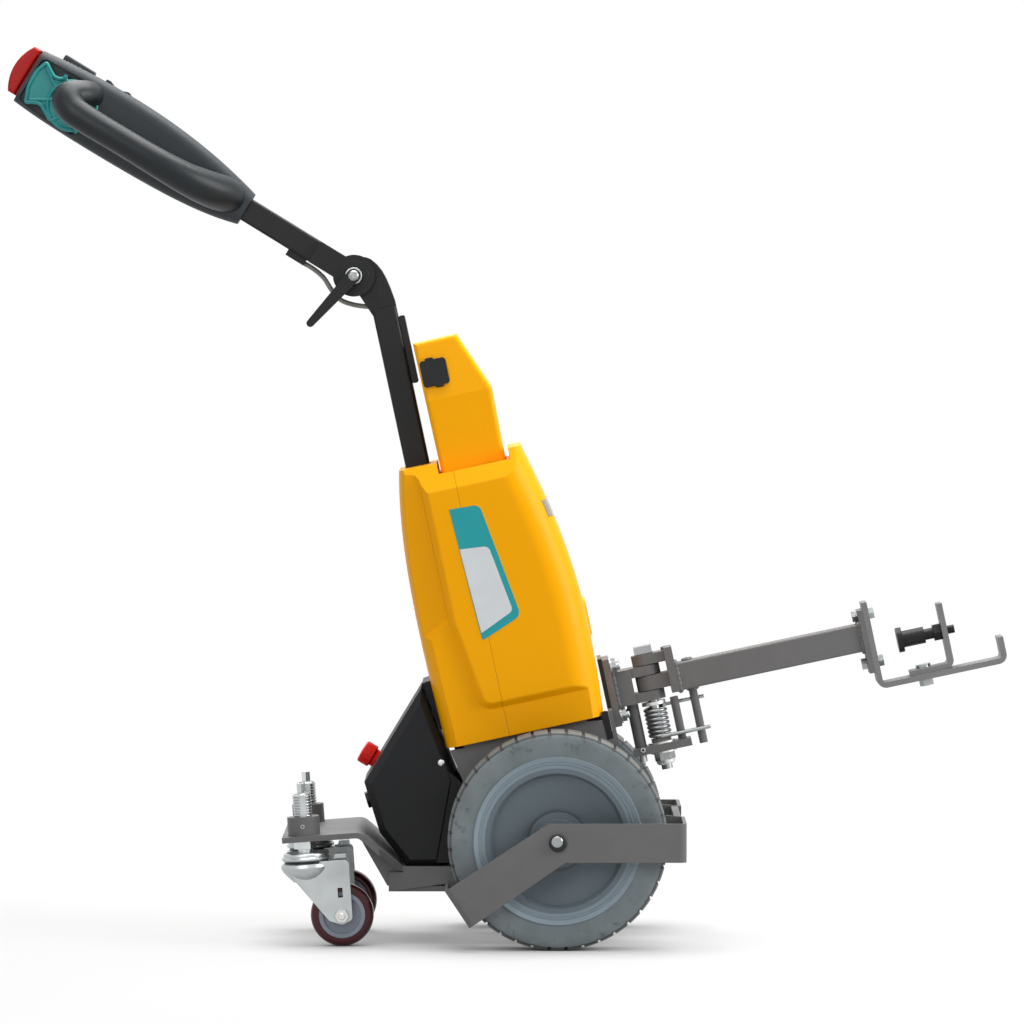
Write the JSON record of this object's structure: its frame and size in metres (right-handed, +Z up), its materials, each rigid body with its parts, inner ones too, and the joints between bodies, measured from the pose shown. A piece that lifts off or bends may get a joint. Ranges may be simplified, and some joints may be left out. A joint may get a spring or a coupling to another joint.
{
  "type": "walk-behind electric tow tug",
  "caption": "Walk-behind electric tow tug: tilted yellow body on drive wheels and swivel castors, folding tiller with loop grips, and a self-centring tow arm with a hook.",
  "frame": {"origin": "floor point under the middle of the bounding box", "axes": "+X from the tiller to the tow hook, +Y to the machine's left, +Z up"},
  "size_m": [1.4335, 0.426, 1.2833],
  "materials": {
    "grey_paint": "satin",
    "yellow_shell": "satin",
    "black_paint": "satin",
    "dark_plastic": "matt",
    "grip_plastic": "satin",
    "red_plastic": "satin",
    "turquoise_plastic": "satin",
    "zinc": "zinc plated",
    "drive_iron": "satin",
    "wheel_rim": "satin",
    "tyre_rubber": "matt",
    "castor_tread": "satin",
    "cable_sheath": "satin"
  },
  "bodies": {
    "chassis": {"chassis_frame": "grey_paint", "drive_unit": "drive_iron", "axle": "drive_iron", "wheel_guard_right": "grey_paint", "wheel_guard_left": "grey_paint", "guard_bolt_right": "zinc", "guard_bolt_left": "zinc", "rear_cover": "yellow_shell", "front_cover": "yellow_shell", "battery_case": "yellow_shell", "charging_flap": "dark_plastic", "battery_latch": "black_paint", "column": "black_paint", "clamp_bolt": "zinc", "clamp_lever": "black_paint", "controller_box": "dark_plastic", "isolator_knob": "red_plastic", "charge_plug": "dark_plastic", "castor_carrier": "grey_paint", "castor_stem_right": "zinc", "castor_stem_left": "zinc", "tow_bracket": "grey_paint", "centring_stay": "grey_paint", "king_bolt": "zinc", "centring_spring": "zinc", "tiller_cable": "cable_sheath"},
    "tiller": {"tiller_tube": "black_paint", "tiller_head": "dark_plastic", "stop_cap": "red_plastic", "button_pad": "dark_plastic", "rocker_switch": "dark_plastic", "grip_right": "grip_plastic", "grip_left": "grip_plastic", "throttle_right": "turquoise_plastic", "throttle_left": "turquoise_plastic"},
    "tow_arm": {"tow_arm": "grey_paint", "hook": "grey_paint", "locking_bracket": "grey_paint", "locking_plunger": "black_paint", "hook_bolt": "zinc", "end_bolt_lower": "zinc", "end_bolt_upper": "zinc"},
    "castor_right": {"castor_fork_right": "zinc"},
    "castor_wheel_right": {"castor_hub_right": "wheel_rim", "castor_tyre_right": "castor_tread"},
    "drive_wheel_right": {"rim_right": "wheel_rim", "tyre_right": "tyre_rubber"},
    "castor_left": {"castor_fork_left": "zinc"},
    "castor_wheel_left": {"castor_hub_left": "wheel_rim", "castor_tyre_left": "castor_tread"},
    "drive_wheel_left": {"rim_left": "wheel_rim", "tyre_left": "tyre_rubber"}
  },
  "joints": [
    {"name": "tiller_tilt", "type": "hinge", "parent": "chassis", "child": "tiller", "pos_m": [-0.22267, 0, 0.95584], "axis": [0, 1, 0], "range_deg": [-40, 35], "deforming": ["tiller_cable"]},
    {"name": "tow_arm_swing", "type": "hinge", "parent": "chassis", "child": "tow_arm", "pos_m": [0.20244, 0, 0.36992], "axis": [-0.2079, 0, 0.9781], "range_deg": [-60, 60], "stiffness_Nm_per_rad": 20, "deforming": ["centring_spring"]},
    {"name": "castor_swivel_right", "type": "hinge", "parent": "chassis", "child": "castor_right", "pos_m": [-0.292, -0.104, 0.158], "axis": [-0.0698, 0, 0.9976], "continuous": true},
    {"name": "castor_roll_right", "type": "hinge", "parent": "castor_right", "child": "castor_wheel_right", "pos_m": [-0.23799, -0.104, 0.045], "axis": [0, 1, 0], "continuous": true},
    {"name": "drive_roll_right", "type": "hinge", "parent": "chassis", "child": "drive_wheel_right", "pos_m": [0.069, -0.152, 0.156], "axis": [0, 1, 0], "continuous": true},
    {"name": "castor_swivel_left", "type": "hinge", "parent": "chassis", "child": "castor_left", "pos_m": [-0.292, 0.104, 0.158], "axis": [-0.0698, 0, 0.9976], "continuous": true},
    {"name": "castor_roll_left", "type": "hinge", "parent": "castor_left", "child": "castor_wheel_left", "pos_m": [-0.23799, 0.104, 0.045], "axis": [0, 1, 0], "continuous": true},
    {"name": "drive_roll_left", "type": "hinge", "parent": "chassis", "child": "drive_wheel_left", "pos_m": [0.069, 0.152, 0.156], "axis": [0, 1, 0], "continuous": true}
  ]
}
